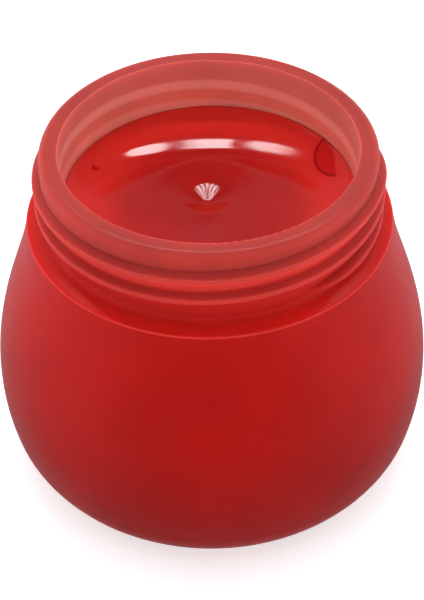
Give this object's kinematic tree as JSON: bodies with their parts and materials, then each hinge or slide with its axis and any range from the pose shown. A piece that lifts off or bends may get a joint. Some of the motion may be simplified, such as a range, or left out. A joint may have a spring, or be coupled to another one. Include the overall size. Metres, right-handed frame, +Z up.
{
  "type": "paint jar",
  "caption": "Squat round-bellied plastic jar with a wide screw-thread mouth, open, filled with glossy paint to just below the lip.",
  "frame": {"origin": "centre of the jar's base, on the plane that it stands on", "axes": "+Z up along the jar's axis, -Y towards the front"},
  "size_m": [0.0636, 0.0636, 0.0522],
  "materials": {
    "jar_plastic": "red-tinted translucent moulded polypropylene, semi-gloss",
    "paint": "wet glossy red paint"
  },
  "bodies": {
    "root": {"jar_body": "jar_plastic", "paint_fill": "paint"}
  },
  "joints": []
}
